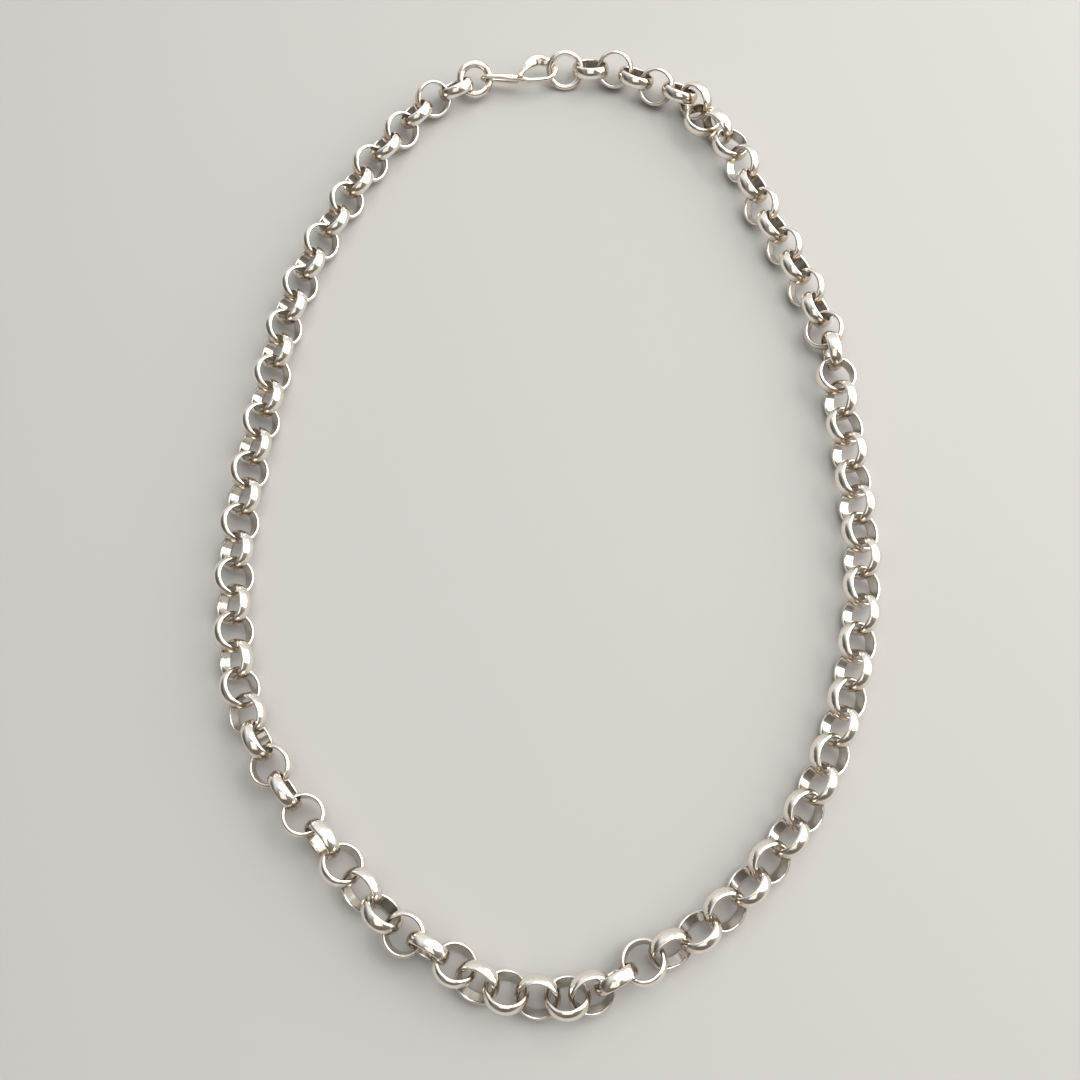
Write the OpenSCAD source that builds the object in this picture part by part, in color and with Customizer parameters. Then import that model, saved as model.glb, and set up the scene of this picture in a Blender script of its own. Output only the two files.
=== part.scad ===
// A heavy rolo chain necklace, laid out flat in an open loop and closed with an S-shaped hook.
// Lengths are in mm and angles in degrees. The chain lies on the plane z = 0.
// +X runs across the loop, +Y from its lowest link up to the hook, and +Z upwards.

/* [Links] */
// Outside diameter of one link
link_diameter = 9; // [8.8:0.1:9.6]
// Width of the band that a link is made of
link_width = 2.7; // [2.5:0.1:2.8]
// Thickness of the band at its middle
band_thickness = 0.95; // [0.85:0.05:1]
// Thickness of the band at its two edges
edge_thickness = 0.55; // [0.5:0.05:0.75]
// Bevel along the inner edges of the band
edge_bevel = 0.3; // [0.25:0.05:0.35]

/* [End rings] */
// Outside diameter of the ring at the left end of the chain
left_ring_diameter = 8.9; // [8.6:0.1:9.2]
// Wire of the left ring
left_ring_wire = 1.8; // [1.5:0.1:1.9]
// Outside diameter of the ring at the right end of the chain
right_ring_diameter = 9.2; // [9:0.1:9.6]
// Wire of the right ring
right_ring_wire = 1.4; // [1.2:0.1:1.5]

/* [Hook] */
// Wire of the S-shaped hook
hook_wire = 1.1; // [0.9:0.1:1.2]
// Width of the hook where it is hammered flat
hook_flat_width = 2.5; // [2:0.1:2.7]
// Thickness of the hook where it is hammered flat
hook_flat_thickness = 0.8; // [0.6:0.1:1]
// Air between the hook and the end rings
hook_air = 0.2; // [0.15:0.05:0.3]

/* [Hidden] */

// Fineness of the round shapes
round_steps = 72;
section_steps = 48;
hook_sides = 12;
hook_steps = 4;

// The links are numbered from the hook's left end round to its right end.
// The first and the last of them are the end rings.
first_link = 1;
last_link = 91;
middle_link = (first_link + last_link) / 2;

// The route of the chain on the table, read by eye from its run.
// Each row: link number, x, y, lean of the odd links, lean of the even links.
// A lean of 0 lays a link flat, and a positive lean tips its axis into the loop.
route = [
    [1, -16.9, 103.4, 26, -45],
    [2, -21.5, 100.6, 42, -45],
    [3, -27, 97.8, 45, -42],
    [5, -34.5, 89, 45, -42],
    [7, -41.7, 79.8, 45, -40],
    [9, -47, 69.7, 45, -38],
    [12, -54.7, 53, 45, -38],
    [15, -59.6, 36.3, 45, -38],
    [18, -62.2, 19, 45, -36],
    [21, -64.8, 1.6, 45, -36],
    [24, -66.2, -16.5, 45, -36],
    [27, -65.2, -34.4, 45, -36],
    [29, -62.9, -46.2, 48, -40],
    [31, -58.2, -57, 81, -18],
    [33, -51.9, -67, 90, 4],
    [35, -43.9, -76.4, 116, 22],
    [37, -35.8, -85.8, 140, 50],
    [39, -27, -93.9, 170, 82],
    [40, -22.3, -96.4, 194, 106],
    [41, -17.2, -99.4, 218, 126],
    [42, -12.9, -102.5, 220, 140],
    [43, -7.4, -104.2, 222, 148],
    [45, 4.2, -105.2, 222, 150],
    [46, 8.8, -104.3, 240, 148],
    [47, 13.4, -101.8, 271, 165],
    [48, 18.7, -98.8, 295, 201],
    [49, 23.9, -96.5, 311, 220],
    [50, 29.4, -93.4, 322, 232],
    [52, 39.2, -85.1, 325, 236],
    [55, 50.8, -71.1, 326, 237],
    [58, 58.9, -54.8, 327, 237],
    [61, 63.9, -37.8, 327, 237],
    [64, 66.3, -20, 327, 237],
    [67, 66, -2.3, 327, 237],
    [70, 64.7, 15.9, 333, 243],
    [72, 63.7, 27.7, 371, 275],
    [74, 61.2, 38.3, 405, 310],
    [76, 57.4, 49.3, 405, 315],
    [78, 52.9, 60, 405, 315],
    [79, 50.6, 65.3, 405, 315],
    [80, 48.9, 71.1, 405, 315],
    [82, 44.2, 82.2, 425, 340],
    [83, 41.3, 87, 448, 350],
    [84, 38, 89.9, 436, 350],
    [85, 36.3, 94.8, 428, 338],
    [86, 32.8, 97.5, 410, 320],
    [87, 27.3, 99.6, 405, 318],
    [89, 17.4, 105, 405, 326],
    [91, 5.2, 105.5, 405, 326]];
// The left ring and one link where the chain is bunched are turned on the table. A few are lifted or
// let down, by shares of the band's width.
turns = [[1, -22], [2, 0], [84, 0], [85, 8], [86, 0]];
lifts = [[1, 0.11], [2, 0], [81, 0], [82, 0.07], [83, 0], [84, -0.26], [85, 0]];
// How far the middle of a link can hang below the middles of its neighbours
hang = 0.4;

// Band of a link: flat inside and domed outside
inner_radius = link_diameter / 2 - band_thickness;
edge_radius = inner_radius + edge_thickness;
crown = band_thickness - edge_thickness;
dome_radius = (pow(link_width / 2, 2) + crown * crown) / (2 * crown);
dome_centre = link_diameter / 2 - dome_radius;
dome_angle = asin(link_width / 2 / dome_radius);

// The route is drawn for links of 9 mm. It grows and shrinks by this share of two links' pull-out length.
pull_share = 0.1522;
full_pitch = 2 * sqrt(pow(inner_radius, 2) - pow(link_width / 2, 2));
route_scale = full_pitch * pull_share;

// Smooth curve through rows that start with a rising number
function row_slope(rows, j) =
    j == 0 ? (rows[1] - rows[0]) / (rows[1][0] - rows[0][0])
    : j == len(rows) - 1 ? (rows[j] - rows[j - 1]) / (rows[j][0] - rows[j - 1][0])
    : let (before = rows[j][0] - rows[j - 1][0], after = rows[j + 1][0] - rows[j][0])
      ((rows[j + 1] - rows[j]) / after * before + (rows[j] - rows[j - 1]) / before * after)
      / (before + after);
function row_index(rows, u, j = 0) =
    j >= len(rows) - 2 || rows[j + 1][0] > u ? j : row_index(rows, u, j + 1);
function row_curve(rows, u) =
    let (j = row_index(rows, u), step = rows[j + 1][0] - rows[j][0], t = (u - rows[j][0]) / step)
    (2 * t * t * t - 3 * t * t + 1) * rows[j] + (t * t * t - 2 * t * t + t) * step * row_slope(rows, j)
    + (3 * t * t - 2 * t * t * t) * rows[j + 1] + (t * t * t - t * t) * step * row_slope(rows, j + 1);

// Plan position, lean, heading and height of the links
route_plan = [for (row = route) [row[0], row[1], row[2]]];
odd_leans = [for (row = route) [row[0], row[3]]];
even_leans = [for (row = route) [row[0], row[4]]];
plan = [for (i = [0 : last_link]) let (p = row_curve(route_plan, max(i, first_link)))
    [p[1], p[2]] * route_scale];
lean = [for (i = [0 : last_link]) lookup(i, i % 2 == 1 ? odd_leans : even_leans)];
function before(i) = max(i - 1, first_link);
function after(i) = min(i + 1, last_link);
heading = [for (i = [0 : last_link]) let (way = plan[after(i)] - plan[before(i)])
    atan2(way[1], way[0]) + lookup(i, turns)];

// How far a link reaches from its middle along a direction that has this cosine with its axis
function band_reach(c) = let (s = sqrt(1 - min(1, c * c)))
    atan2(c, s) < dome_angle ? dome_centre * s + dome_radius : edge_radius * s + link_width / 2 * c;
function wire_reach(c, diameter, wire) = (diameter - wire) / 2 * sqrt(1 - min(1, c * c)) + wire / 2;
function reach(i, c) =
    i == first_link ? wire_reach(c, left_ring_diameter, left_ring_wire)
    : i == last_link ? wire_reach(c, right_ring_diameter, right_ring_wire)
    : band_reach(c);
rest = [for (i = [0 : last_link]) reach(i, abs(cos(lean[i])))];
height = [for (i = [0 : last_link])
    max(rest[i], rest[before(i)] - hang, rest[after(i)] - hang) + lookup(i, lifts) * link_width];
centre = [for (i = [0 : last_link]) [plan[i][0], plan[i][1], height[i]]];
axis = [for (i = [0 : last_link])
    [-sin(heading[i]) * sin(lean[i]), cos(heading[i]) * sin(lean[i]), cos(lean[i])]];

function unit(v) = v / norm(v);
function across(v, n) = unit(v - (v * n) * n);

// The hook's left bow goes round the wall of the left ring, in the plane of these two directions.
left_out = across([1, 0.05, 0], axis[first_link]);
left_wall = centre[first_link] + left_out * (left_ring_diameter - left_ring_wire) / 2;
left_clear = (left_ring_wire + hook_wire) / 2 + hook_air;
left_bow = [for (a = [-100 : 40 : 100]) 1.05 * [-cos(a), sin(a)]];
// The right bow goes through the right ring and lies open in front of it and behind it.
// Its points are shares of the radius of the ring's wire, and of the room beside the wire.
right_out = [cos(heading[last_link]), sin(heading[last_link]), 0];
right_up = cross(right_out, axis[last_link]);
right_wall = (right_ring_diameter - right_ring_wire) / 2;
right_clear = (right_ring_wire + hook_wire) / 2 + hook_air;
right_bow = [[0.97, -0.38, 1.25], [0.67, -0.15, 0.8], [0.59, 0.1, 0.1], [0.67, 0.28, -0.6], [0.87, 0.41, -1.05]];
right_bow_flat = [0, 0, 0.1, 0.2, 0.4];

// Path of the hook. Each row: number, x, y, z and how flat the wire is there, 0 to 1.
hook_path = concat(
    [[-6.2, 103.3, 2.6, 0], [-8.1, 103.5, 2.4, 0], [-10.1, 103.9, 2.2, 0]] * route_scale,
    [for (q = left_bow) concat(left_wall + left_clear * (q[0] * left_out + q[1] * axis[first_link]), 0)],
    [[-9.9, 102.8, 5, 0.1], [-8, 102.8, 4.7, 0.3], [-6, 102.8, 4.3, 0.3], [-4.1, 102.4, 4.1, 0.1],
        [-2.1, 102.4, 4, 0], [-0.2, 102.6, 3.9, 0]] * route_scale,
    [for (k = [0 : len(right_bow) - 1]) let (q = right_bow[k]) concat(centre[last_link]
        + right_wall * (q[0] * right_out + q[1] * right_up) + q[2] * right_clear * axis[last_link],
        right_bow_flat[k])],
    [[0.5, 107.8, 3.8, 0.8], [-1, 108.2, 3.9, 1], [-2.5, 107.8, 4.1, 1], [-3.9, 106.4, 4.6, 0.7],
        [-5, 104.3, 5.2, 0.2], [-6, 102, 5.9, 0]] * route_scale);
hook_rows = [for (k = [0 : len(hook_path) - 1]) concat(k, hook_path[k])];
hook_middle = 11;
hook_last = len(hook_path) - 1;
// Directions that the flat of the hook keeps to: its width in the left half, its face in the right
hook_side = unit([0, 0.93, 0.36]);
hook_face = unit([0, -0.6, 0.8]);
// The two tips are rounded over this part of a step
tip_part = 0.3;
tip_scale = 0.55;

function hook_place(u) = let (r = row_curve(hook_rows, u)) [r[1], r[2], r[3]];
function hook_way(u) = unit(hook_place(min(u + 0.05, hook_last)) - hook_place(max(u - 0.05, 0)));
function hook_ring(u, scale) =
    let (p = hook_place(u), way = hook_way(u), flat = min(1, max(0, row_curve(hook_rows, u)[4])),
        wide = across(u < hook_middle ? hook_side : cross(hook_face, way), way), thick = cross(way, wide),
        half_width = (hook_wire + (hook_flat_width - hook_wire) * flat) / 2 * scale,
        half_thick = (hook_wire + (hook_flat_thickness - hook_wire) * flat) / 2 * scale)
    [for (k = [0 : hook_sides - 1]) let (a = 360 * (k + 0.5) / hook_sides)
        p + wide * half_width * cos(a) + thick * half_thick * sin(a)];
hook_stations = concat([[0, tip_scale]], [for (u = [tip_part, 0.6]) [u, 1]],
    [for (u = [1 : 1 / hook_steps : hook_last - 1]) [u, 1]],
    [for (u = [0.6, tip_part]) [hook_last - u, 1]], [[hook_last, tip_scale]]);
hook_points = [for (s = hook_stations) each hook_ring(s[0], s[1])];

// Box of the whole necklace, which puts the middle of its underside on the origin
bodies = [for (i = [first_link : last_link]) for (side = [-1, 1])
    centre[i] + side * [for (e = [0 : 2]) reach(i, abs(axis[i][e]))]];
spots = concat(bodies, hook_points);
low = [for (e = [0 : 2]) min([for (p = spots) p[e]])];
high = [for (e = [0 : 2]) max([for (p = spots) p[e]])];
shift = -[(low[0] + high[0]) / 2, (low[1] + high[1]) / 2, low[2]];

module band_section() {
    intersection() {
        translate([dome_centre, 0]) circle(r = dome_radius, $fn = 2 * section_steps);
        polygon([
            [inner_radius, edge_bevel - link_width / 2], [inner_radius + edge_bevel, -link_width / 2],
            [link_diameter, -link_width / 2], [link_diameter, link_width / 2],
            [inner_radius + edge_bevel, link_width / 2], [inner_radius, link_width / 2 - edge_bevel]]);
    }
}

module link() {
    rotate_extrude($fn = round_steps) band_section();
}

module wire_ring(diameter, wire) {
    rotate_extrude($fn = round_steps)
        translate([(diameter - wire) / 2, 0]) circle(d = wire, $fn = section_steps);
}

// Puts what is drawn round +Z at the place of a link
module at_link(i) {
    translate(centre[i] + shift) rotate([0, 0, heading[i]]) rotate([-lean[i], 0, 0]) children();
}

module chain_left() {
    color([0.78, 0.77, 0.75]) for (i = [first_link + 1 : middle_link]) at_link(i) link();
}

module chain_right() {
    color([0.78, 0.77, 0.75]) for (i = [middle_link + 1 : last_link - 1]) at_link(i) link();
}

module end_ring_left() {
    color([0.8, 0.79, 0.77]) at_link(first_link) wire_ring(left_ring_diameter, left_ring_wire);
}

module end_ring_right() {
    color([0.8, 0.79, 0.77]) at_link(last_link) wire_ring(right_ring_diameter, right_ring_wire);
}

module s_hook() {
    count = len(hook_stations);
    walls = [for (s = [0 : count - 2]) for (k = [0 : hook_sides - 1])
        let (a = s * hook_sides + k, b = s * hook_sides + (k + 1) % hook_sides)
        each [[a, b, b + hook_sides], [a, b + hook_sides, a + hook_sides]]];
    start_face = [for (k = [hook_sides - 1 : -1 : 0]) k];
    end_face = [for (k = [0 : hook_sides - 1]) (count - 1) * hook_sides + k];
    color([0.76, 0.74, 0.72]) translate(shift)
        polyhedron(points = hook_points, faces = concat([start_face], walls, [end_face]));
}

chain_left();
chain_right();
end_ring_left();
end_ring_right();
s_hook();
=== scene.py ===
# %% [markdown]
# # A silver rolo chain necklace
#
# The real object is a heavy rolo chain, also called a belcher chain: round links of half-round silver
# band, each one turned across its neighbours, laid out as an open oval and closed with an S-shaped hook.
# The CAD model holds the true sizes. This script loads it as a fixed frame, and puts finer
# pieces with a silver finish in the places of its nodes.

# %% The frame
import math

import bpy
import numpy as np
from mathutils import Matrix, Vector


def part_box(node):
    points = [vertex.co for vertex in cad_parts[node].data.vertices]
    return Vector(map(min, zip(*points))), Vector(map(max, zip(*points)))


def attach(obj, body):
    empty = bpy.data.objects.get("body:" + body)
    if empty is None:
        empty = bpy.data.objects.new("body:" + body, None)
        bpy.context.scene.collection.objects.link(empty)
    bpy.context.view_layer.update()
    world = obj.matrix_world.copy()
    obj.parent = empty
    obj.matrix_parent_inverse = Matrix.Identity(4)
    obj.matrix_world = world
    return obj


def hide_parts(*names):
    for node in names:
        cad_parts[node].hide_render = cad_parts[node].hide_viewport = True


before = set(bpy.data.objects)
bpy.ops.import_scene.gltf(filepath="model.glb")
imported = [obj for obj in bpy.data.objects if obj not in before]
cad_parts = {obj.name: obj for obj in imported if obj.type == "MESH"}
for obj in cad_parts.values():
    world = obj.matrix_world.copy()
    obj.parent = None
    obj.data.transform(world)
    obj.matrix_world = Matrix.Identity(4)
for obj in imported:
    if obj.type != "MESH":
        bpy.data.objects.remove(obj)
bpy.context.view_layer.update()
print("CAD nodes:", sorted(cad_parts))

# %% [markdown]
# ## The camera
#
# The photograph looks down at the necklace from just outside its lowest link, leaning about 17 degrees
# from straight down. A lens of 36 mm on a 36 mm sensor gives its perspective. The picture's up direction
# is the necklace's +Y as the camera sees it, so the camera's three axes are worked out one by one:
# Blender's own tracking helper would keep +Z upright, and that turns the picture by 7 degrees.

# %% Camera
MM = 0.001
CAMERA_PLACE = Vector((7.55, -82.56, 223.7)) * MM
CAMERA_AIM = Vector((-1.25, -14.06, 0)) * MM
SENSOR, LENS = 36, 36.1

camera_data = bpy.data.cameras.new("camera")
camera_data.sensor_width = SENSOR
camera_data.lens = LENS
camera_data.clip_start = 0.01
camera_data.clip_end = 20
camera = bpy.data.objects.new("camera", camera_data)
bpy.context.scene.collection.objects.link(camera)
ahead = (CAMERA_AIM - CAMERA_PLACE).normalized()
picture_up = (Vector((0, 1, 0)) - ahead * ahead.y).normalized()
picture_right = ahead.cross(picture_up)
camera.matrix_world = Matrix.Translation(CAMERA_PLACE) @ Matrix(
    (picture_right, picture_up, -ahead)
).transposed().to_4x4()
bpy.context.scene.camera = camera
lean_from_down = math.degrees(ahead.angle(Vector((0, 0, -1))))
print("camera leans", round(lean_from_down, 1), "degrees from straight down")

# %% [markdown]
# ## Two small helpers
#
# Every tree of nodes below, in materials and in Geometry Nodes alike, is built with one function that
# adds a node, sets its properties and fills or links its inputs. Colours are written as the hex values
# that an eye compares on a screen, and one function turns them to the linear values that light uses.


# %% Helpers
def add(tree, kind, inputs=None, **settings):
    """Adds a node. inputs maps the name or number of an input in use to a value, a node or an output."""
    made = tree.nodes.new(kind)
    for key, value in settings.items():
        setattr(made, key, value)
    used = [s for s in made.inputs if s.enabled]
    for key, value in (inputs or {}).items():
        socket = used[key] if isinstance(key, int) else next(s for s in used if s.name == key)
        if isinstance(value, bpy.types.Node):
            value = next(s for s in value.outputs if s.enabled)
        if isinstance(value, bpy.types.NodeSocket):
            tree.links.new(value, socket)
        else:
            socket.default_value = value
    return made


def colour(hex_code):
    """Linear red, green, blue and alpha of an sRGB hex code."""
    shares = [int(hex_code[k : k + 2], 16) / 255 for k in (1, 3, 5)]
    return [s / 12.92 if s <= 0.04045 else ((s + 0.055) / 1.055) ** 2.4 for s in shares] + [1]


print("polished silver in linear values:", [round(v, 3) for v in colour("#fcf8f0")])

# %% [markdown]
# ## The run of the chain
#
# Each link has a place on the table, a heading along the chain and a lean. A chain on a table does not
# stand its links up at right angles: they tip over until they rest on the table, one to the left and
# the next to the right, and here and there a link lies flat. A physics simulation could drop a chain
# and let it settle, but never in the shape of this one. So the run is a short table of points, read off
# one by one, with a lean for the odd links and one for the even links. A smooth curve fills in the links
# between. It is the same table and the same rule as in the CAD source.

# %% Route of the chain
ROUTE = [  # link, x, y in mm, lean of the odd links, lean of the even links
    (1, -16.9, 103.4, 26, -45),
    (2, -21.5, 100.6, 42, -45),
    (3, -27, 97.8, 45, -42),
    (5, -34.5, 89, 45, -42),
    (7, -41.7, 79.8, 45, -40),
    (9, -47, 69.7, 45, -38),
    (12, -54.7, 53, 45, -38),
    (15, -59.6, 36.3, 45, -38),
    (18, -62.2, 19, 45, -36),
    (21, -64.8, 1.6, 45, -36),
    (24, -66.2, -16.5, 45, -36),
    (27, -65.2, -34.4, 45, -36),
    (29, -62.9, -46.2, 48, -40),
    (31, -58.2, -57, 81, -18),
    (33, -51.9, -67, 90, 4),
    (35, -43.9, -76.4, 116, 22),
    (37, -35.8, -85.8, 140, 50),
    (39, -27, -93.9, 170, 82),
    (40, -22.3, -96.4, 194, 106),
    (41, -17.2, -99.4, 218, 126),
    (42, -12.9, -102.5, 220, 140),
    (43, -7.4, -104.2, 222, 148),
    (45, 4.2, -105.2, 222, 150),
    (46, 8.8, -104.3, 240, 148),
    (47, 13.4, -101.8, 271, 165),
    (48, 18.7, -98.8, 295, 201),
    (49, 23.9, -96.5, 311, 220),
    (50, 29.4, -93.4, 322, 232),
    (52, 39.2, -85.1, 325, 236),
    (55, 50.8, -71.1, 326, 237),
    (58, 58.9, -54.8, 327, 237),
    (61, 63.9, -37.8, 327, 237),
    (64, 66.3, -20, 327, 237),
    (67, 66, -2.3, 327, 237),
    (70, 64.7, 15.9, 333, 243),
    (72, 63.7, 27.7, 371, 275),
    (74, 61.2, 38.3, 405, 310),
    (76, 57.4, 49.3, 405, 315),
    (78, 52.9, 60, 405, 315),
    (79, 50.6, 65.3, 405, 315),
    (80, 48.9, 71.1, 405, 315),
    (82, 44.2, 82.2, 425, 340),
    (83, 41.3, 87, 448, 350),
    (84, 38, 89.9, 436, 350),
    (85, 36.3, 94.8, 428, 338),
    (86, 32.8, 97.5, 410, 320),
    (87, 27.3, 99.6, 405, 318),
    (89, 17.4, 105, 405, 326),
    (91, 5.2, 105.5, 405, 326),
]
# link, and the degrees that it is turned off the run
TURNS = [(1, -22), (2, 0), (84, 0), (85, 8), (86, 0)]
# link, and how far it is lifted, as a share of a link's width
LIFTS = [(1, 0.11), (2, 0), (81, 0), (82, 0.07), (83, 0), (84, -0.26), (85, 0)]
HANG = 0.4  # mm that a link's middle may lie below the height at which a neighbour rests
FIRST, LAST = 1, 91
MIDDLE = (FIRST + LAST) // 2
print(len(ROUTE), "rows for", LAST - FIRST + 1, "links and rings")

# %% [markdown]
# ## Sizes of the links and rings
#
# The sizes in millimetres are those of the CAD source. A half-round band is flat on its inner side and
# domed on its outer side. In the CAD the dome is an arc of a circle, whose radius and middle follow from
# the width of the band and its thickness at the middle and at the edges. A leaning link rests on that
# arc, so the places of the links need it.

# %% Sizes
LINK_DIAMETER, LINK_WIDTH = 9.0, 2.7
BAND_THICKNESS, EDGE_THICKNESS = 0.95, 0.55
LEFT_RING_DIAMETER, LEFT_RING_WIRE = 8.9, 1.8
RIGHT_RING_DIAMETER, RIGHT_RING_WIRE = 9.2, 1.4
# one unit of the route is this share of the room inside a link, so the run grows with its links
PULL_SHARE = 0.1522

inner_radius = LINK_DIAMETER / 2 - BAND_THICKNESS
edge_radius = inner_radius + EDGE_THICKNESS
crown = BAND_THICKNESS - EDGE_THICKNESS
dome_radius = ((LINK_WIDTH / 2) ** 2 + crown**2) / (2 * crown)
dome_centre = LINK_DIAMETER / 2 - dome_radius
dome_angle = math.asin(LINK_WIDTH / 2 / dome_radius)
room_in_link = 2 * math.sqrt(inner_radius**2 - (LINK_WIDTH / 2) ** 2)
route_scale = room_in_link * PULL_SHARE
print("dome radius", round(dome_radius, 2), "mm, one unit of the route", round(route_scale, 4), "mm")

# %% [markdown]
# ## A curve through the rows, and how far a link reaches
#
# Two functions turn the table into places. The first gives a point at any number on a smooth curve
# through the rows, as a string of beads would run. The second says how far a link reaches from its
# middle in some direction, which gives the height at which a leaning link rests on the table.


# %% Curve and reach
def row_curve(rows, u):
    """Point at u on the smooth curve through rows that start with a rising number."""
    rows = np.array(rows, float)
    k = rows[:, 0]

    def slope(j):
        if j == 0 or j == len(k) - 1:
            a, b = (0, 1) if j == 0 else (j - 1, j)
            return (rows[b] - rows[a]) / (k[b] - k[a])
        back, fore = k[j] - k[j - 1], k[j + 1] - k[j]
        way_back, way_fore = rows[j] - rows[j - 1], rows[j + 1] - rows[j]
        return (way_fore / fore * back + way_back / back * fore) / (back + fore)

    j = int(np.clip(np.searchsorted(k, u, side="right") - 1, 0, len(k) - 2))
    step = k[j + 1] - k[j]
    t = (u - k[j]) / step
    ends = (2 * t**3 - 3 * t**2 + 1) * rows[j] + (3 * t**2 - 2 * t**3) * rows[j + 1]
    return ends + step * ((t**3 - 2 * t**2 + t) * slope(j) + (t**3 - t**2) * slope(j + 1))


def reach(link, cosine):
    """How far a link or end ring reaches along a direction that has this cosine to its axis."""
    sine = math.sqrt(max(0, 1 - cosine * cosine))
    if link == FIRST:
        return (LEFT_RING_DIAMETER - LEFT_RING_WIRE) / 2 * sine + LEFT_RING_WIRE / 2
    if link == LAST:
        return (RIGHT_RING_DIAMETER - RIGHT_RING_WIRE) / 2 * sine + RIGHT_RING_WIRE / 2
    if math.atan2(cosine, sine) < dome_angle:
        return dome_centre * sine + dome_radius
    return edge_radius * sine + LINK_WIDTH / 2 * cosine


print("a link that stands up has its middle", round(reach(MIDDLE, 0), 2), "mm high")

# %% [markdown]
# ## Places of the links
#
# A link's heading comes from its two neighbours, and its height from what carries it: the table, or the
# higher of its neighbours. At last the whole run is shifted as the CAD model is, so that it stands on
# the table with the middle of its box at the origin.

# %% Places of the links
links = list(range(FIRST, LAST + 1))
route_plan = [row[:3] for row in ROUTE]
plan = {i: row_curve(route_plan, i)[1:3] * route_scale for i in links}
knots = [row[0] for row in ROUTE]
lean = {i: math.radians(np.interp(i, knots, [row[3 if i % 2 else 4] for row in ROUTE])) for i in links}
rest = {i: reach(i, abs(math.cos(lean[i]))) for i in links}
heading, centre, axis = {}, {}, {}
for i in links:
    before, after = max(i - 1, FIRST), min(i + 1, LAST)
    way = plan[after] - plan[before]
    heading[i] = math.atan2(way[1], way[0]) + math.radians(np.interp(i, *zip(*TURNS)))
    lift = np.interp(i, *zip(*LIFTS)) * LINK_WIDTH
    height = max(rest[i], rest[before] - HANG, rest[after] - HANG) + lift
    centre[i] = Vector((*plan[i], height))
    side = Vector((-math.sin(heading[i]), math.cos(heading[i]), 0))
    axis[i] = side * math.sin(lean[i]) + Vector((0, 0, math.cos(lean[i])))

spread = [Vector([reach(i, min(1, abs(c))) for c in axis[i]]) for i in links]
low = [min(centre[i][e] - s[e] for i, s in zip(links, spread)) for e in range(3)]
high = [max(centre[i][e] + s[e] for i, s in zip(links, spread)) for e in range(3)]
shift = -Vector(((low[0] + high[0]) / 2, (low[1] + high[1]) / 2, low[2]))
chain_length = sum((centre[i + 1] - centre[i]).length for i in links[:-1])
print(len(links), "links and rings; their middles run over", round(chain_length), "mm")
print("the run is moved by", [round(v, 3) for v in shift], "mm to stand where the CAD does")

# %% [markdown]
# ## Sterling silver
#
# The links are sterling silver: 92.5% silver, the whitest of the metals, with a slightly warm cast. They
# were rolled as half-round band, bent round, soldered shut and tumbled to a polish. What the eye gets
# from that is almost mirror-like white highlights on the domed outside, broken a little by wear. The
# inner wall is painted greyer, partly because no polishing tool reaches it and partly as painted shade
# in the hollow of the link. Round the places where links hang in each other the silver has tarnished to
# a golden brown, and painted shade darkens it there too; on the hook the same tarnish and painted shade
# lie where two strands of the wire lie side by side. A metal has no colour of its own beside its
# reflections, so the base colour is nearly white, and the grey with its painted shade, the tarnish, the
# roughness and fine waves make the difference.
#
# A piece stores the place of each point on its own link as an attribute, so the finish follows the
# link: its distance from the link's axis tells the inner wall from the dome, and its place along the
# chain tells where the neighbours touch. Painting that by hand on 89 links would be the other way, and
# it would have to be done again after each change of the run.

# %% Where silver is grey, tarnished or painted with shade
INNER_GREY_AND_SHADE = 0.5  # how far the inner wall turns to an unpolished grey, which is partly painted shade
INNER_EDGE = (0.02, 0.3)  # mm out from the inner wall: the grey and painted shade start to fade, and end
CROOK_EDGE = (0.8, 1.12)  # shares of the inner wall's radius: the tarnish and painted shade start, and are full
CROOK_TARNISH_AND_SHADE = 0.95  # how far the silver turns to its tarnish colour there, as tarnish and painted shade
OPEN_TARNISH = 0.15  # and on the hook's wire where nothing is near it


def link_marks(tree, inside, cloud, spots):
    """Grey and painted shade of an inner wall of this radius in mm; tarnish and painted shade where
    neighbours hang.
    """
    own = add(tree, "ShaderNodeAttribute", attribute_name="link_place").outputs["Vector"]
    # distance from the link's own axis tells the inner wall from the domed outside
    flat = add(tree, "ShaderNodeVectorMath", {0: own, 1: (1, 1, 0)}, operation="MULTIPLY")
    radius = add(tree, "ShaderNodeVectorMath", {0: flat}, operation="LENGTH").outputs["Value"]
    # the inner wall is painted greyer: unpolished silver, and painted shade in the hollow of the link
    inner = add(tree, "ShaderNodeMapRange",
                {0: radius, 1: (inside + INNER_EDGE[0]) * MM, 2: (inside + INNER_EDGE[1]) * MM,
                 3: INNER_GREY_AND_SHADE, 4: 0.0})
    uneven = add(tree, "ShaderNodeMapRange", {0: cloud, 1: 0.3, 2: 0.7, 3: 0.7, 4: 1.0})
    shade = add(tree, "ShaderNodeMath", {0: inner, 1: uneven}, operation="MULTIPLY")
    # the neighbours hang at the two ends of the link's own X axis
    along = add(tree, "ShaderNodeMath", {0: add(tree, "ShaderNodeSeparateXYZ", {0: own}).outputs["X"]},
                operation="ABSOLUTE")
    # tarnish and painted shade darken the link where its neighbours hang in it
    crook = add(tree, "ShaderNodeMapRange",
                {0: along, 1: inside * CROOK_EDGE[0] * MM, 2: inside * CROOK_EDGE[1] * MM,
                 3: 0.0, 4: CROOK_TARNISH_AND_SHADE})
    return shade, add(tree, "ShaderNodeMath", {0: crook, 1: spots}, operation="MULTIPLY")


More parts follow.
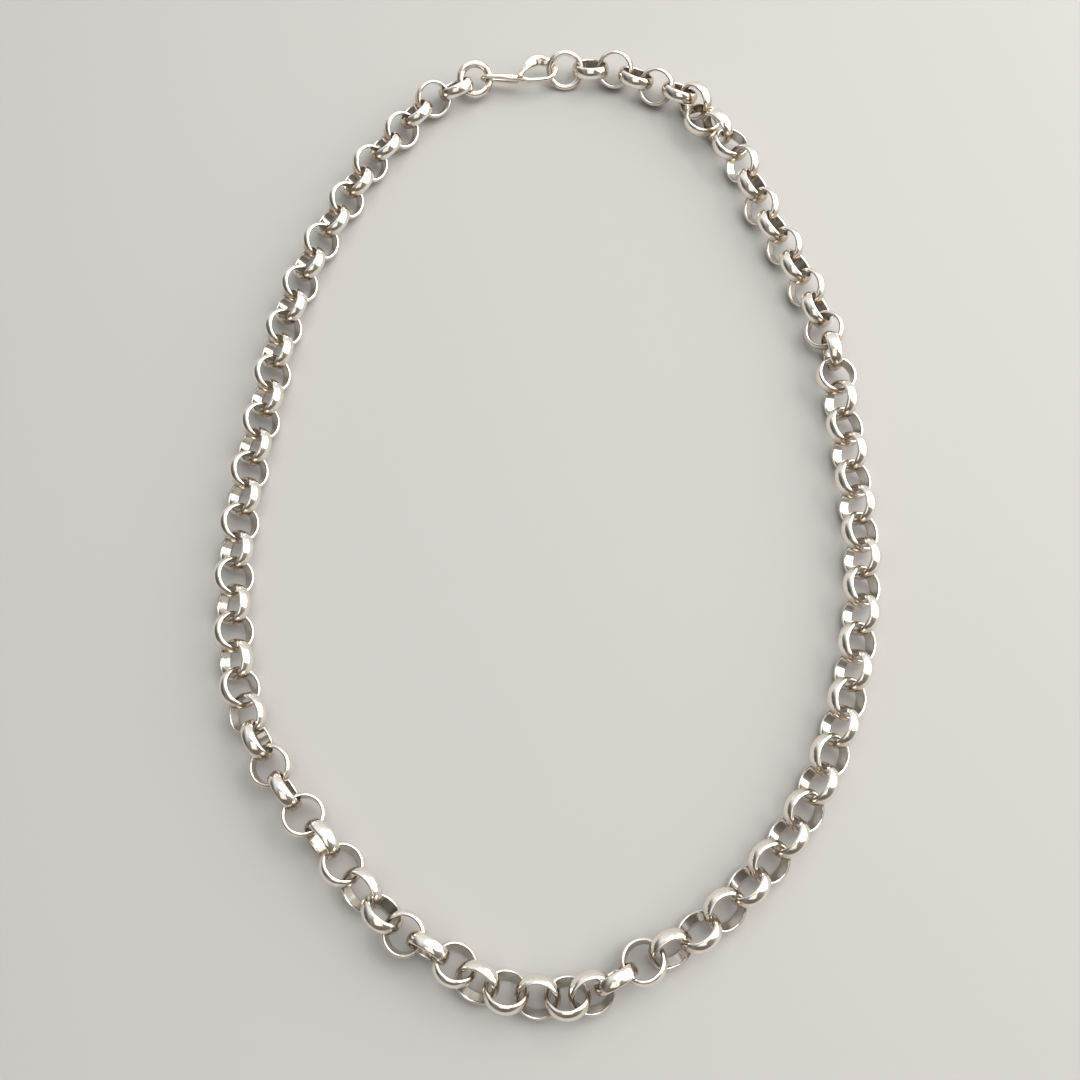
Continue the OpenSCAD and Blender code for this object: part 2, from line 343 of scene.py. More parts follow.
def wire_marks(tree, spots):
    """Tarnish of the hook: more of it, with painted shade, where another strand of the same wire is near.
    """
    near = add(tree, "ShaderNodeAttribute", attribute_name="gap_tarnish_and_shade").outputs["Fac"]
    # darker where another strand is near, as tarnish and painted shade, and lightly tarnished elsewhere
    sheltered = add(tree, "ShaderNodeMath", {0: near, 1: OPEN_TARNISH}, operation="MAXIMUM")
    return add(tree, "ShaderNodeMath", {0: sheltered, 1: spots}, operation="MULTIPLY")


print("tarnish starts", round(inner_radius * CROOK_EDGE[0], 2), "mm from the middle of a link")

# %% [markdown]
# ## The soldered joint
#
# Each link and ring was a strip or a wire with two ends, closed with solder and filed smooth. What is
# left is a hair line across the band, a little darker than the silver and hardly sunk. A groove in the
# mesh would need many more points, so it is drawn by the finish, at a place that the mesh carries.

# %% Solder line
SOLDER_FULL, SOLDER_END = 0.05, 0.2  # mm from the middle of the line: it starts to fade, and ends
SOLDER_TINT, SOLDER_DEPTH = 0.15, 0.01  # share of the tarnish colour, and mm


def solder_line(tree, surface, normal, tarnish):
    """Adds the soldered joint to a colour and a normal, and returns both."""
    joint = add(tree, "ShaderNodeAttribute", attribute_name="seam_place").outputs["Vector"]
    parts = add(tree, "ShaderNodeSeparateXYZ", {0: joint})
    apart = add(tree, "ShaderNodeMath", {0: parts.outputs["Y"]}, operation="ABSOLUTE")
    line = add(tree, "ShaderNodeMapRange",
               {0: apart, 1: SOLDER_FULL * MM, 2: SOLDER_END * MM, 3: 1.0, 4: 0.0})
    this_side = add(tree, "ShaderNodeMath", {0: parts.outputs["X"], 1: 0.0}, operation="GREATER_THAN")
    solder = add(tree, "ShaderNodeMath", {0: line, 1: this_side}, operation="MULTIPLY")
    faint = add(tree, "ShaderNodeMath", {0: solder, 1: SOLDER_TINT}, operation="MULTIPLY")
    darker = add(tree, "ShaderNodeMix", {"Factor": faint, "A": surface, "B": colour(tarnish)},
                 data_type="RGBA")
    sunk = add(tree, "ShaderNodeBump",
               {"Strength": 0.5, "Distance": SOLDER_DEPTH * MM, "Height": solder, "Normal": normal},
               invert=True)
    return darker, sunk


print("the solder line is", 2 * SOLDER_FULL, "mm wide and has faded out at", 2 * SOLDER_END, "mm")

# %% [markdown]
# ## The silver finish
#
# One function puts these marks together with the wear. Clouds of wear as large as a third of a link
# turn the bright silver slightly duller and rougher. Slow waves are left by tumbling, and the hook's
# are deeper, because it was hammered. Links, rings and hook share the function, with a material each,
# because the links are more polished than the wire and the hook is the most tarnished. Each noise is
# sized in millimetres: its scale is 1 divided by the size in metres, the unit of the coordinates.

# %% Silver finish
# grey of the unpolished inner wall, used also as painted shade in the link's hollow
UNPOLISHED_GREY_AND_INNER_SHADE = "#5f574f"
CLOUD_SIZE, SPECK_SIZE, WAVE_SIZE = 3.0, 0.7, 2.0  # mm
GRAIN_DEPTH = 0.006  # mm
WEAR_ROUGHNESS, TARNISH_ROUGHNESS = 0.07, 0.16  # what full wear and full tarnish add


def per_mm(size):
    """Noise scale for features of this size in mm."""
    return 1 / (size * MM)


def silver(name, bright, dull, tarnish, roughness, waves=0.03, inside=None):
    """Material of one silver part. A link or ring has inside, the radius in mm of its inner wall."""
    material = bpy.data.materials.new(name)
    material.use_nodes = True
    tree = material.node_tree
    tree.nodes.clear()
    place = add(tree, "ShaderNodeTexCoord").outputs["Object"]
    cloud = add(tree, "ShaderNodeTexNoise",
                {"Vector": place, "Scale": per_mm(CLOUD_SIZE), "Detail": 3.0}).outputs[0]
    wear = add(tree, "ShaderNodeMapRange", {0: cloud, 1: 0.35, 2: 0.7, 3: 0.0, 4: 1.0})
    # specks of tarnish, drawn a little coarser than the real ones so that they show
    speck = add(tree, "ShaderNodeTexNoise",
                {"Vector": place, "Scale": per_mm(SPECK_SIZE), "Detail": 4.0}).outputs[0]
    spots = add(tree, "ShaderNodeMapRange", {0: speck, 1: 0.35, 2: 0.75, 3: 0.3, 4: 1.0})
    surface = add(tree, "ShaderNodeMix", {"Factor": wear, "A": colour(bright), "B": colour(dull)},
                  data_type="RGBA")
    if inside:
        shade, tarnish_and_shade = link_marks(tree, inside, cloud, spots)
        # the inner wall turns to the unpolished grey, which is also painted shade
        surface = add(tree, "ShaderNodeMix",
                      {"Factor": shade, "A": surface, "B": colour(UNPOLISHED_GREY_AND_INNER_SHADE)}, data_type="RGBA")
    else:
        tarnish_and_shade = wire_marks(tree, spots)
    # tarnish, with painted shade where neighbours hang and between the hook's strands
    surface = add(tree, "ShaderNodeMix", {"Factor": tarnish_and_shade, "A": surface, "B": colour(tarnish)},
                  data_type="RGBA")
    dulled = add(tree, "ShaderNodeMapRange",
                 {0: tarnish_and_shade, 1: 0.0, 2: 1.0, 3: roughness, 4: roughness + TARNISH_ROUGHNESS})
    rough = add(tree, "ShaderNodeMath", {0: wear, 1: WEAR_ROUGHNESS, 2: dulled},
                operation="MULTIPLY_ADD")
    # slow waves left by tumbling or hammering, and the fine grain of the specks
    ripple = add(tree, "ShaderNodeTexNoise",
                 {"Vector": place, "Scale": per_mm(WAVE_SIZE), "Detail": 1.0}).outputs[0]
    wavy = add(tree, "ShaderNodeBump", {"Strength": 1.0, "Distance": waves * MM, "Height": ripple})
    normal = add(tree, "ShaderNodeBump",
                 {"Strength": 0.6, "Distance": GRAIN_DEPTH * MM, "Height": speck, "Normal": wavy})
    if inside:
        surface, normal = solder_line(tree, surface, normal, tarnish)
    shader = add(tree, "ShaderNodeBsdfPrincipled",
                 {"Base Color": surface, "Metallic": 1.0, "Roughness": rough, "Normal": normal})
    add(tree, "ShaderNodeOutputMaterial", {"Surface": shader})
    return material


print("clouds of wear have noise scale", round(per_mm(CLOUD_SIZE)), "and specks", round(per_mm(SPECK_SIZE)))

# %% Finishes of the links, the rings and the hook
link_silver = silver("tumbled_sterling_silver_band", "#fcf8f0", "#f1ebe1", "#93724b", 0.11,
                     inside=inner_radius)
ring_silver = silver("polished_sterling_silver_ring_wire", "#fcf8f0", "#eee7dc", "#8b6f52", 0.16,
                     inside=LEFT_RING_DIAMETER / 2 - LEFT_RING_WIRE)
hook_silver = silver("hammered_sterling_silver_hook_wire", "#faf4ea", "#e6dccd", "#7d6145", 0.13,
                     waves=0.05)
print("finishes:", link_silver.name, ring_silver.name, hook_silver.name)

# %% [markdown]
# ## The links
#
# Eighty-nine links are the same shape in different places, which is what Geometry Nodes are for. The
# tree draws the section of the band, sweeps it round a circle, and puts one copy on each point that it
# is given, turned as the point's own attribute says. Its sizes are named inputs. Modelling one link by
# hand and copying it would look the same, but then a change of width would mean modelling it again.

# %% Inputs of the tree that makes half-round links
link_tree = bpy.data.node_groups.new("half_round_links", "GeometryNodeTree")
link_tree.is_modifier = True
LINK_INPUTS = [
    ("Places", "NodeSocketGeometry", None),
    ("Link diameter", "NodeSocketFloat", LINK_DIAMETER * MM),
    ("Band width", "NodeSocketFloat", LINK_WIDTH * MM),
    ("Band thickness", "NodeSocketFloat", BAND_THICKNESS * MM),
    ("Edge thickness", "NodeSocketFloat", EDGE_THICKNESS * MM),
    ("Edge rounding", "NodeSocketFloat", 0.15 * MM),
    ("Steps round the link", "NodeSocketInt", 72),
    ("Steps round the section", "NodeSocketInt", 26),
    ("Seed", "NodeSocketInt", 7),
    ("Finish", "NodeSocketMaterial", link_silver),
]
link_inputs = {
    name: link_tree.interface.new_socket(name, in_out="INPUT", socket_type=kind)
    for name, kind, _ in LINK_INPUTS
}
link_tree.interface.new_socket("Links", in_out="OUTPUT", socket_type="NodeSocketGeometry")
given = add(link_tree, "NodeGroupInput").outputs
print("the tree has", len(link_inputs), "inputs")

# %% [markdown]
# ## The section of the band
#
# The section is a rectangle with rounded corners, resampled so that it has points all the way round.
# Its outer side is then pushed out into a dome: the further out and the nearer the middle of the width
# a point is, the more it moves. That makes the dome a parabola. The CAD's dome is an arc of a circle,
# which would take a square root more, and on a dome as low as this one the two hardly differ.

# %% Section of the band
box_section = add(link_tree, "GeometryNodeCurvePrimitiveQuadrilateral",
                  {"Width": given["Edge thickness"], "Height": given["Band width"]}, mode="RECTANGLE")
rounded = add(link_tree, "GeometryNodeFilletCurve",
              {"Curve": box_section, "Count": 3, "Radius": given["Edge rounding"], "Limit Radius": True},
              mode="POLY")
even = add(link_tree, "GeometryNodeResampleCurve",
           {"Curve": rounded, "Count": given["Steps round the section"]})

at = add(link_tree, "ShaderNodeSeparateXYZ", {0: add(link_tree, "GeometryNodeInputPosition")})
outward = add(link_tree, "ShaderNodeMath", {0: at.outputs["X"], 1: given["Edge thickness"]},
              operation="DIVIDE")
outward = add(link_tree, "ShaderNodeMath", {0: outward, 1: 0.5}, operation="ADD")
sideways = add(link_tree, "ShaderNodeMath", {0: at.outputs["Y"], 1: given["Band width"]},
               operation="DIVIDE")
sideways = add(link_tree, "ShaderNodeMath", {0: sideways, 1: 2.0}, operation="MULTIPLY")
sideways = add(link_tree, "ShaderNodeMath", {0: sideways, 1: 2.0}, operation="POWER")
domed = add(link_tree, "ShaderNodeMath", {0: 1.0, 1: sideways}, operation="SUBTRACT")
rise = add(link_tree, "ShaderNodeMath", {0: given["Band thickness"], 1: given["Edge thickness"]},
           operation="SUBTRACT")
push = add(link_tree, "ShaderNodeMath", {0: domed, 1: outward}, operation="MULTIPLY")
push = add(link_tree, "ShaderNodeMath", {0: push, 1: rise}, operation="MULTIPLY")
section = add(link_tree, "GeometryNodeSetPosition",
              {"Geometry": even, "Offset": add(link_tree, "ShaderNodeCombineXYZ", {"X": push})})
print("with its section the tree has", len(link_tree.nodes), "nodes")

# %% [markdown]
# ## The link, its copies and their joints
#
# The section follows a circle through the middle of the rectangle. Each point of the mesh then stores
# its own place, before the copies are made, and that is what the finish reads. Each link also gets a
# random turn for its soldered joint, from a fixed seed, because in a real chain the joints lie anywhere.

# %% Link, copies and joints
half = add(link_tree, "ShaderNodeMath", {0: given["Link diameter"], 1: 0.5}, operation="MULTIPLY")
wall = add(link_tree, "ShaderNodeMath", {0: half, 1: given["Band thickness"]}, operation="SUBTRACT")
middle = add(link_tree, "ShaderNodeMath", {0: given["Edge thickness"], 1: 0.5, 2: wall},
             operation="MULTIPLY_ADD")
path = add(link_tree, "GeometryNodeCurvePrimitiveCircle",
           {"Resolution": given["Steps round the link"], "Radius": middle}, mode="RADIUS")
band = add(link_tree, "GeometryNodeCurveToMesh", {"Curve": path, "Profile Curve": section})
own_place = add(link_tree, "GeometryNodeStoreNamedAttribute",
                {"Geometry": band, "Name": "link_place",
                 "Value": add(link_tree, "GeometryNodeInputPosition")},
                data_type="FLOAT_VECTOR", domain="POINT")

roll = add(link_tree, "FunctionNodeRandomValue",
           {"Min": 0.0, "Max": 2 * math.pi, "Seed": given["Seed"]}, data_type="FLOAT")
rolled = add(link_tree, "GeometryNodeStoreNamedAttribute",
             {"Geometry": given["Places"], "Name": "roll", "Value": roll},
             data_type="FLOAT", domain="POINT")
turn = add(link_tree, "GeometryNodeInputNamedAttribute", {"Name": "turn"}, data_type="FLOAT_VECTOR")
copies = add(link_tree, "GeometryNodeInstanceOnPoints",
             {"Points": rolled, "Instance": own_place, "Rotation": turn.outputs["Attribute"]})
real = add(link_tree, "GeometryNodeRealizeInstances", {"Geometry": copies})

read_place = add(link_tree, "GeometryNodeInputNamedAttribute", {"Name": "link_place"},
                 data_type="FLOAT_VECTOR")
read_roll = add(link_tree, "GeometryNodeInputNamedAttribute", {"Name": "roll"}, data_type="FLOAT")
seam_place = add(link_tree, "ShaderNodeVectorRotate",
                 {"Vector": read_place.outputs["Attribute"], "Angle": read_roll.outputs["Attribute"]},
                 rotation_type="Z_AXIS")
seamed = add(link_tree, "GeometryNodeStoreNamedAttribute",
             {"Geometry": real, "Name": "seam_place", "Value": seam_place},
             data_type="FLOAT_VECTOR", domain="POINT")
smooth = add(link_tree, "GeometryNodeSetShadeSmooth", {"Geometry": seamed, "Shade Smooth": True})
finished = add(link_tree, "GeometryNodeSetMaterial", {"Geometry": smooth, "Material": given["Finish"]})
add(link_tree, "NodeGroupOutput", {"Links": finished})
print("the whole tree has", len(link_tree.nodes), "nodes")

# %% [markdown]
# ## Both halves of the chain
#
# A mesh of loose points carries the places and turns, one point for each link, and the tree does the
# rest. The CAD model has the chain as two nodes, so there are two pieces. Each ends as a plain mesh,
# because the export drops instances, and the modifier goes before the piece is tied to the frame.


# %% A piece of the chain
def enclosed_volume(mesh):
    """Volume inside a closed mesh. It is negative where the faces point inwards."""
    total = 0
    for triangle in mesh.loop_triangles:
        a, b, c = (mesh.vertices[k].co for k in triangle.vertices)
        total += a.dot(b.cross(c))
    return total / 6


def chain_piece(name, numbers):
    """Makes the links with these numbers as one piece."""
    points = bpy.data.meshes.new(name + "_points")
    points.from_pydata([(centre[i] + shift) * MM for i in numbers], [], [])
    points.materials.append(link_silver)
    turns = points.attributes.new("turn", "FLOAT_VECTOR", "POINT")
    for entry, i in zip(turns.data, numbers):
        placed = Matrix.Rotation(heading[i], 3, "Z") @ Matrix.Rotation(-lean[i], 3, "X")
        entry.vector = placed.to_euler("XYZ")
    piece = bpy.data.objects.new(name, points)
    bpy.context.scene.collection.objects.link(piece)
    modifier = piece.modifiers.new("links", "NODES")
    modifier.node_group = link_tree
    for label, _, value in LINK_INPUTS:
        if value is not None:
            modifier[link_inputs[label].identifier] = value
    graph = bpy.context.evaluated_depsgraph_get()
    mesh = bpy.data.meshes.new_from_object(
        piece.evaluated_get(graph), preserve_all_data_layers=True, depsgraph=graph
    )
    mesh.name = name
    piece.modifiers.clear()
    piece.data = mesh
    mesh.calc_loop_triangles()
    volume = enclosed_volume(mesh) * 1e9
    print(name, len(numbers), "links,", len(mesh.loop_triangles), "triangles,", round(volume), "mm3")
    return piece


# %% Left and right chain
left_chain = chain_piece("left_chain_links", range(FIRST + 1, MIDDLE + 1))
right_chain = chain_piece("right_chain_links", range(MIDDLE + 1, LAST))
for piece, cad_name in ((left_chain, "chain_left"), (right_chain, "chain_right")):
    cad_low, cad_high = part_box(cad_name)
    made_low = Vector([min(v.co[e] for v in piece.data.vertices) for e in range(3)])
    made_high = Vector([max(v.co[e] for v in piece.data.vertices) for e in range(3)])
    off = max((made_low - cad_low).length, (made_high - cad_high).length) / MM
    print(piece.name, "is at most", round(off, 3), "mm off the box of", cad_name)
    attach(piece, "root")
    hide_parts(cad_name)

# %% [markdown]
# ## A wire swept along a path
#
# The two end rings and the hook are drawn round wire. A ring could be a torus and the hook a curve with
# a bevel, but the hook is hammered flat towards one end, so its section changes along the way. One
# function therefore lays a ring of points at each station of a path and skins them, closed on itself
# for the end rings and closed with rounded tips for the hook.


# %% Swept wire
def swept_wire(name, sections, closed, material):
    """Skins rings of points that all have the same count. An open wire gets a point at each tip."""
    count, sides = len(sections), len(sections[0])
    points = [p for ring in sections for p in ring]
    faces = []
    for s in range(count if closed else count - 1):
        first, second = s * sides, (s + 1) % count * sides
        for k in range(sides):
            n = (k + 1) % sides
            faces.append((first + k, first + n, second + n, second + k))
    if not closed:
        for ring, start, flip in ((sections[0], 0, True), (sections[-1], (count - 1) * sides, False)):
            points.append(sum(ring, Vector()) / sides)
            for k in range(sides):
                a, b = start + k, start + (k + 1) % sides
                faces.append((b, a, len(points) - 1) if flip else (a, b, len(points) - 1))
    mesh = bpy.data.meshes.new(name)
    mesh.from_pydata(points, [], faces)
    mesh.materials.append(material)
    mesh.shade_smooth()
    mesh.calc_loop_triangles()
    if enclosed_volume(mesh) < 0:
        mesh.flip_normals()
    piece = bpy.data.objects.new(name, mesh)
    bpy.context.scene.collection.objects.link(piece)
    mesh.calc_loop_triangles()
    volume = enclosed_volume(mesh) * 1e9
    print(name, len(mesh.loop_triangles), "triangles,", round(volume, 1), "mm3")
    return piece


# %% [markdown]
# ## The end rings
#
# Each end of the chain has one plain ring of round wire, heavier on the left and larger on the right.
# The joint where it was closed is a thin line across the wire, drawn by the finish.


# %% End rings
def end_ring(name, link, diameter, wire, seam_degrees, steps=96, sides=28):
    """A ring of round wire at the place of a link, with its own places stored for the finish."""
    placed = Matrix.Rotation(heading[link], 3, "Z") @ Matrix.Rotation(-lean[link], 3, "X")
    own, sections = [], []
    for s in range(steps):
        a = 2 * math.pi * s / steps
        ring = []
        for k in range(sides):
            b = 2 * math.pi * k / sides
            out = (diameter - wire) / 2 + wire / 2 * math.cos(b)
            local = Vector((out * math.cos(a), out * math.sin(a), wire / 2 * math.sin(b)))
            own.append(local * MM)
            ring.append((placed @ local + centre[link] + shift) * MM)
        sections.append(ring)
    piece = swept_wire(name, sections, True, ring_silver)
    joint = Matrix.Rotation(math.radians(-seam_degrees), 3, "Z")
    for label, values in (("link_place", own), ("seam_place", [joint @ v for v in own])):
        layer = piece.data.attributes.new(label, "FLOAT_VECTOR", "POINT")
        layer.data.foreach_set("vector", [c for v in values for c in v])
    return piece


left_ring = end_ring("left_end_ring", FIRST, LEFT_RING_DIAMETER, LEFT_RING_WIRE, 70)
right_ring = end_ring("right_end_ring", LAST, RIGHT_RING_DIAMETER, RIGHT_RING_WIRE, 250)
for piece, cad_name in ((left_ring, "end_ring_left"), (right_ring, "end_ring_right")):
    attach(piece, "root")
    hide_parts(cad_name)

# %% [markdown]
# ## The hook
#
# The hook is one wire bent to an S. Its left bow is closed round the left ring in an upright plane. Its
# right bow goes through the right ring and lies nearly flat, and there the wire was hammered until it is
# three times as wide as it is thick, which stiffens it. The path has the same points as in the CAD
# source. A bow is placed from the ring that it goes round, so that both stay clear of each other.

# %% Hook sizes and rows
HOOK_WIRE, HOOK_AIR = 1.1, 0.2
FLAT_WIDTH, FLAT_THICKNESS = 2.5, 0.8
LEFT_BOW_SHARE = 1.05
LEFT_BOW_DEGREES = range(-100, 101, 40)
# x, y, z in units of the route, and how flat the wire is hammered, from 0 to 1. The tail stays round.
TAIL = [(-6.2, 103.3, 2.6), (-8.1, 103.5, 2.4), (-10.1, 103.9, 2.2)]
SPINE = [(-9.9, 102.8, 5, 0.1), (-8, 102.8, 4.7, 0.3), (-6, 102.8, 4.3, 0.3), (-4.1, 102.4, 4.1, 0.1),
         (-2.1, 102.4, 4, 0), (-0.2, 102.6, 3.9, 0)]
FLAT_END = [(0.5, 107.8, 3.8, 0.8), (-1, 108.2, 3.9, 1), (-2.5, 107.8, 4.1, 1), (-3.9, 106.4, 4.6, 0.7),
            (-5, 104.3, 5.2, 0.2), (-6, 102, 5.9, 0)]
# shares of the right ring's radius along the run and across it, share of the clear gap beside the
# ring's wire, and how flat
RIGHT_BOW = [(0.97, -0.38, 1.25, 0), (0.67, -0.15, 0.8, 0), (0.59, 0.1, 0.1, 0.1),
             (0.67, 0.28, -0.6, 0.2), (0.87, 0.41, -1.05, 0.4)]
LEFT_BOW_WAY = Vector((1, 0.05, 0))  # from the left ring's middle to where the bow goes round it
HOOK_MIDDLE = 11  # the station from which the wide side follows the flat end's plane
HOOK_SIDE = Vector((0, 0.93, 0.36)).normalized()
HOOK_FACE = Vector((0, -0.6, 0.8)).normalized()
print("the hook's wire is", HOOK_WIRE, "mm, hammered to", FLAT_WIDTH, "by", FLAT_THICKNESS, "mm")


# %% Hook path
def across(v, n):
    """The part of v that is square to n, with length 1."""
    return (v - v.dot(n) * n).normalized()


left_out = across(LEFT_BOW_WAY, axis[FIRST])
left_wall = centre[FIRST] + left_out * (LEFT_RING_DIAMETER - LEFT_RING_WIRE) / 2
left_clear = (LEFT_RING_WIRE + HOOK_WIRE) / 2 + HOOK_AIR
right_out = Vector((math.cos(heading[LAST]), math.sin(heading[LAST]), 0))
right_up = right_out.cross(axis[LAST])
right_wall = (RIGHT_RING_DIAMETER - RIGHT_RING_WIRE) / 2
right_clear = (RIGHT_RING_WIRE + HOOK_WIRE) / 2 + HOOK_AIR

hook_path = [(*(Vector(p) * route_scale), 0) for p in TAIL]
for degrees in LEFT_BOW_DEGREES:
    a = math.radians(degrees)
    round_wall = -math.cos(a) * left_out + math.sin(a) * axis[FIRST]
    hook_path.append((*(left_wall + LEFT_BOW_SHARE * left_clear * round_wall), 0))
hook_path += [(*(Vector(row[:3]) * route_scale), row[3]) for row in SPINE]
for out, up, beside, flat in RIGHT_BOW:
    bow = right_wall * (out * right_out + up * right_up) + beside * right_clear * axis[LAST]
    hook_path.append((*(centre[LAST] + bow), flat))
hook_path += [(*(Vector(row[:3]) * route_scale), row[3]) for row in FLAT_END]
hook_rows = [(k, *row) for k, row in enumerate(hook_path)]
hook_last = len(hook_rows) - 1
print("the hook's path has", len(hook_rows), "stations")

# %% [markdown]
# ## The hook's skin
#
# At each place along the path the section is an ellipse, round where the wire is round and wide where
# it was hammered. Curves with a bevel would keep one section from end to end. A few smaller sections
# at each tip round it off, as a file does on the real hook.


# %% Hook wire
def hook_section(u, scale, sides=24, nearby=0.05):
    """Ring of points round the hook's path at u. Two nearby points of the path give its direction."""
    row = row_curve(hook_rows, u)
    here = Vector(row[1:4])
    flat = min(1, max(0, row[4]))
    ahead_of = Vector(row_curve(hook_rows, min(u + nearby, hook_last))[1:4])
    way = (ahead_of - Vector(row_curve(hook_rows, max(u - nearby, 0))[1:4])).normalized()
    wide = across(HOOK_SIDE if u < HOOK_MIDDLE else HOOK_FACE.cross(way), way)
    thick = way.cross(wide)
    half_wide = (HOOK_WIRE + (FLAT_WIDTH - HOOK_WIRE) * flat) / 2 * scale
    half_thick = (HOOK_WIRE + (FLAT_THICKNESS - HOOK_WIRE) * flat) / 2 * scale
    ring = []
    for k in range(sides):
        a = 2 * math.pi * (k + 0.5) / sides
        on_wide = here + wide * half_wide * math.cos(a)
        ring.append((on_wide + thick * half_thick * math.sin(a) + shift) * MM)
    return ring


# distance from the tip along the path, and share of the wire's thickness there
TIP_STEPS = [(0, 0.35), (0.08, 0.66), (0.18, 0.88), (0.3, 1)]
FULL_FROM, FULL_STEP = 0.45, 0.1  # where the rest of the wire starts, and its steps
full_count = int((hook_last - 2 * FULL_FROM) / FULL_STEP) + 1
stations = TIP_STEPS + [(FULL_FROM + FULL_STEP * k, 1) for k in range(full_count)]
stations += [(hook_last - u, s) for u, s in reversed(TIP_STEPS)]
hook = swept_wire("s_hook_wire", [hook_section(u, s) for u, s in stations], False, hook_silver)

# %% [markdown]
# ## The gap between the hook's strands
#
# Tarnish stays where a cloth can't reach, and shade falls in the same gaps: between the spine and the
# tail, and inside the bows. So the finish paints the wire darker there, as tarnish and painted shade.
# Each point of the skin is given a number from 0 to 1 that says how near another strand of the wire is,
# and the finish reads it. An ambient occlusion node would find such gaps too, but with more rays to trace
# in every render, while this number is worked out once.

# %% Tarnish and painted shade between the strands
NEAR_GAP, FAR_GAP = 0.2, 1.6  # mm from the point to the other strand's surface
SAME_STRAND = 2.5  # stations along the path that count as the same strand

strand = np.array([row_curve(hook_rows, u)[1:4] for u, _ in stations])
number = np.array([u for u, _ in stations])
sides = (len(hook.data.vertices) - 2) // len(stations)
gap_tarnish_and_shade = hook.data.attributes.new("gap_tarnish_and_shade", "FLOAT", "POINT")
for v in hook.data.vertices:
    u = number[min(v.index // sides, len(stations) - 1)]
    apart = np.linalg.norm(strand - (np.array(v.co) / MM - np.array(shift)), axis=1)
    gap = apart[np.abs(number - u) > SAME_STRAND].min() - HOOK_WIRE / 2
    # the nearer another strand, the more tarnish and painted shade
    gap_tarnish_and_shade.data[v.index].value = float(np.interp(gap, (NEAR_GAP, FAR_GAP), (1, 0)))
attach(hook, "root")
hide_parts("s_hook")
print("sheltered points:", sum(entry.value > 0.5 for entry in gap_tarnish_and_shade.data), "of", len(gap_tarnish_and_shade.data))

# %% [markdown]
# ## The table and the light
#
# The necklace lies on a plain pale floor. Polished silver is a mirror, so the light is made for what the
# links should show: a broad soft window low on the right gives the white patches on the domes, a second
# light up behind fills the shadows, and a weak panel above the viewer lightens the middles of the domes.

# %% Floor
FLOOR_HALF = 2.0
PAPER_GREY = "#a6a4a1"
floor_mesh = bpy.data.meshes.new("floor")
corners = [(x * FLOOR_HALF, y * FLOOR_HALF, 0) for x, y in ((-1, -1), (1, -1), (1, 1), (-1, 1))]
floor_mesh.from_pydata(corners, [], [(0, 1, 2, 3)])
floor = bpy.data.objects.new("floor", floor_mesh)
bpy.context.scene.collection.objects.link(floor)
paper = bpy.data.materials.new("pale_matt_paper")
paper.use_nodes = True
paper.node_tree.nodes.clear()
matt = add(paper.node_tree, "ShaderNodeBsdfPrincipled",
           {"Base Color": colour(PAPER_GREY), "Roughness": 0.9})
add(paper.node_tree, "ShaderNodeOutputMaterial", {"Surface": matt})
floor_mesh.materials.append(paper)
print("floor:", 2 * FLOOR_HALF, "m wide, of", paper.name)

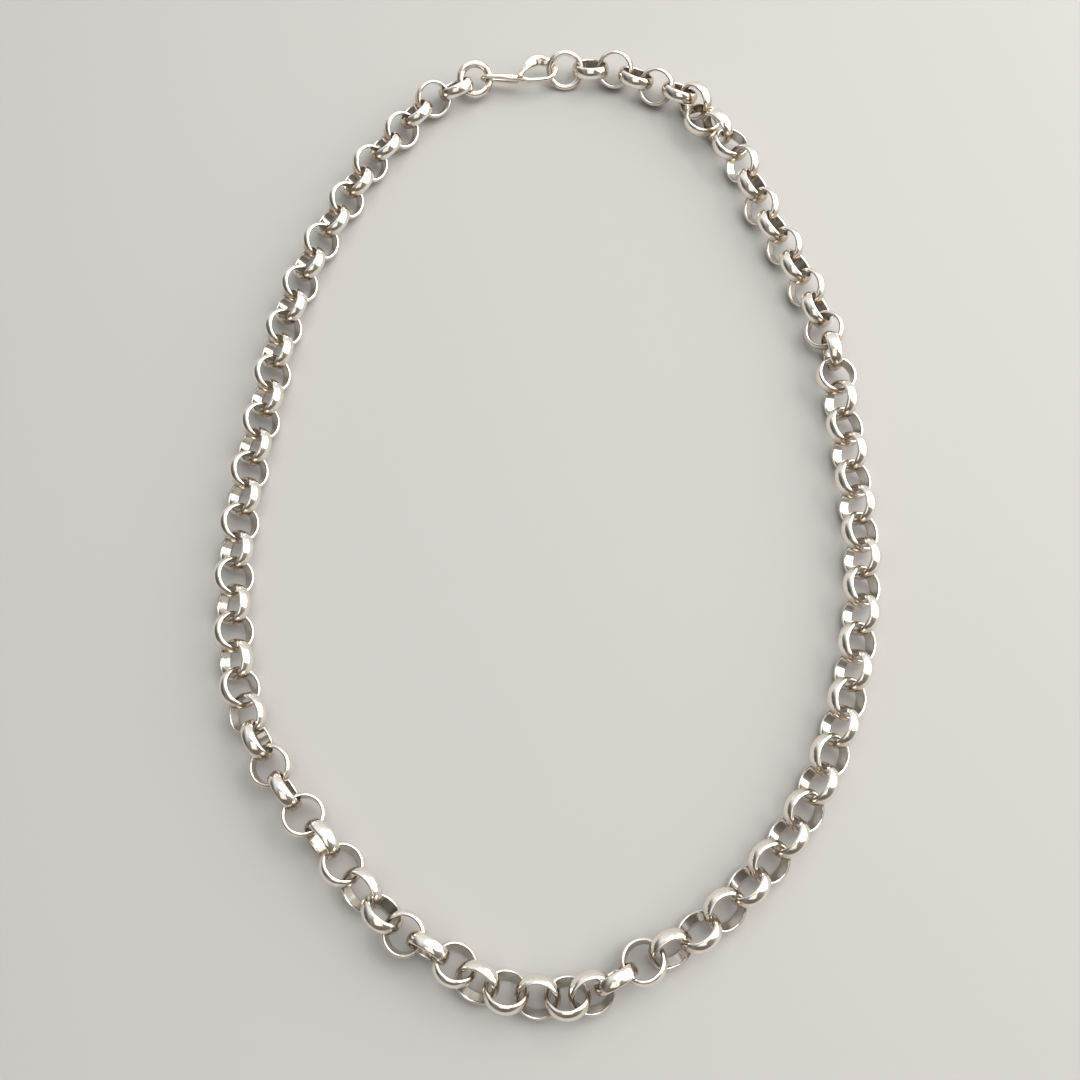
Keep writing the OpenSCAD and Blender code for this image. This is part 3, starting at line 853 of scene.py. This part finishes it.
# %% Lights
LIGHTS = [  # name, place and size in m, watts, tint
    ("window", (0.76, 0.22, 0.34), 1.1, 13.5, "#fffdfa"),
    ("overhead", (0.25, 0.3, 0.85), 0.9, 7.5, "#fffefc"),
    ("front_panel", (0, -0.45, 0.66), 0.6, 1.0, "#fffdfa"),
]
for name, place, size, watts, tint in LIGHTS:
    data = bpy.data.lights.new(name, "AREA")
    data.shape = "SQUARE"
    data.size = size
    data.energy = watts
    data.color = colour(tint)[:3]
    light = bpy.data.objects.new(name, data)
    light.location = place
    # the light's -Z looks at the middle of the necklace
    light.rotation_mode = "QUATERNION"
    light.rotation_quaternion = (-Vector(place)).to_track_quat("-Z", "Y")
    bpy.context.scene.collection.objects.link(light)
    print(name, "stands", round(Vector(place).length, 2), "m from the necklace")

# %% [markdown]
# ## The room
#
# The rest of what the silver mirrors is the world. A plain grey world would leave the links without
# edges. So its walls are pale, and it is dark towards the viewer and low on the left, which draws the
# stripes and edges of the links. The view transform is Standard, so that white highlights stay white.

# %% Room
# 0 is the dark room in front, 1 is the back wall, and the pale side walls are between them
WALLS = [(0, "#544c45"), (0.25, "#87827c"), (0.42, "#cfcfce"), (0.62, "#f4f4f4"), (1, "#c8c5c2")]
TO_THE_BACK, AT_THE_SIDE = (0, 0.4, -0.15), 0.5  # how that number grows, and what it is at the side
DARK_TO, LIT_FROM, DARK_SHARE = -0.9, -0.65, 0.15  # two values of X, and how bright the dark left is
ROOM_STRENGTH = 1.1

world = bpy.data.worlds.new("studio")
bpy.context.scene.world = world
world.use_nodes = True
room = world.node_tree
room.nodes.clear()
outward_way = add(room, "ShaderNodeTexCoord").outputs["Generated"]
behind = add(room, "ShaderNodeVectorMath", {0: outward_way, 1: TO_THE_BACK}, operation="DOT_PRODUCT")
share = add(room, "ShaderNodeMath", {0: behind.outputs["Value"], 1: AT_THE_SIDE}, operation="ADD")
walls = add(room, "ShaderNodeValToRGB", {"Fac": share})
for stop, _ in WALLS[1:-1]:
    walls.color_ramp.elements.new(stop)
for element, (stop, tone) in zip(walls.color_ramp.elements, WALLS):
    element.position = stop
    element.color = colour(tone)
left_way = add(room, "ShaderNodeSeparateXYZ", {0: outward_way}).outputs["X"]
lit = add(room, "ShaderNodeMapRange", {0: left_way, 1: DARK_TO, 2: LIT_FROM, 3: DARK_SHARE, 4: 1.0})
dimmed = add(room, "ShaderNodeMath", {0: lit, 1: ROOM_STRENGTH}, operation="MULTIPLY")
surround = add(room, "ShaderNodeBackground", {"Color": walls, "Strength": dimmed})
add(room, "ShaderNodeOutputWorld", {"Surface": surround})
bpy.context.scene.view_settings.view_transform = "Standard"
print("the room has", len(walls.color_ramp.elements), "tones")
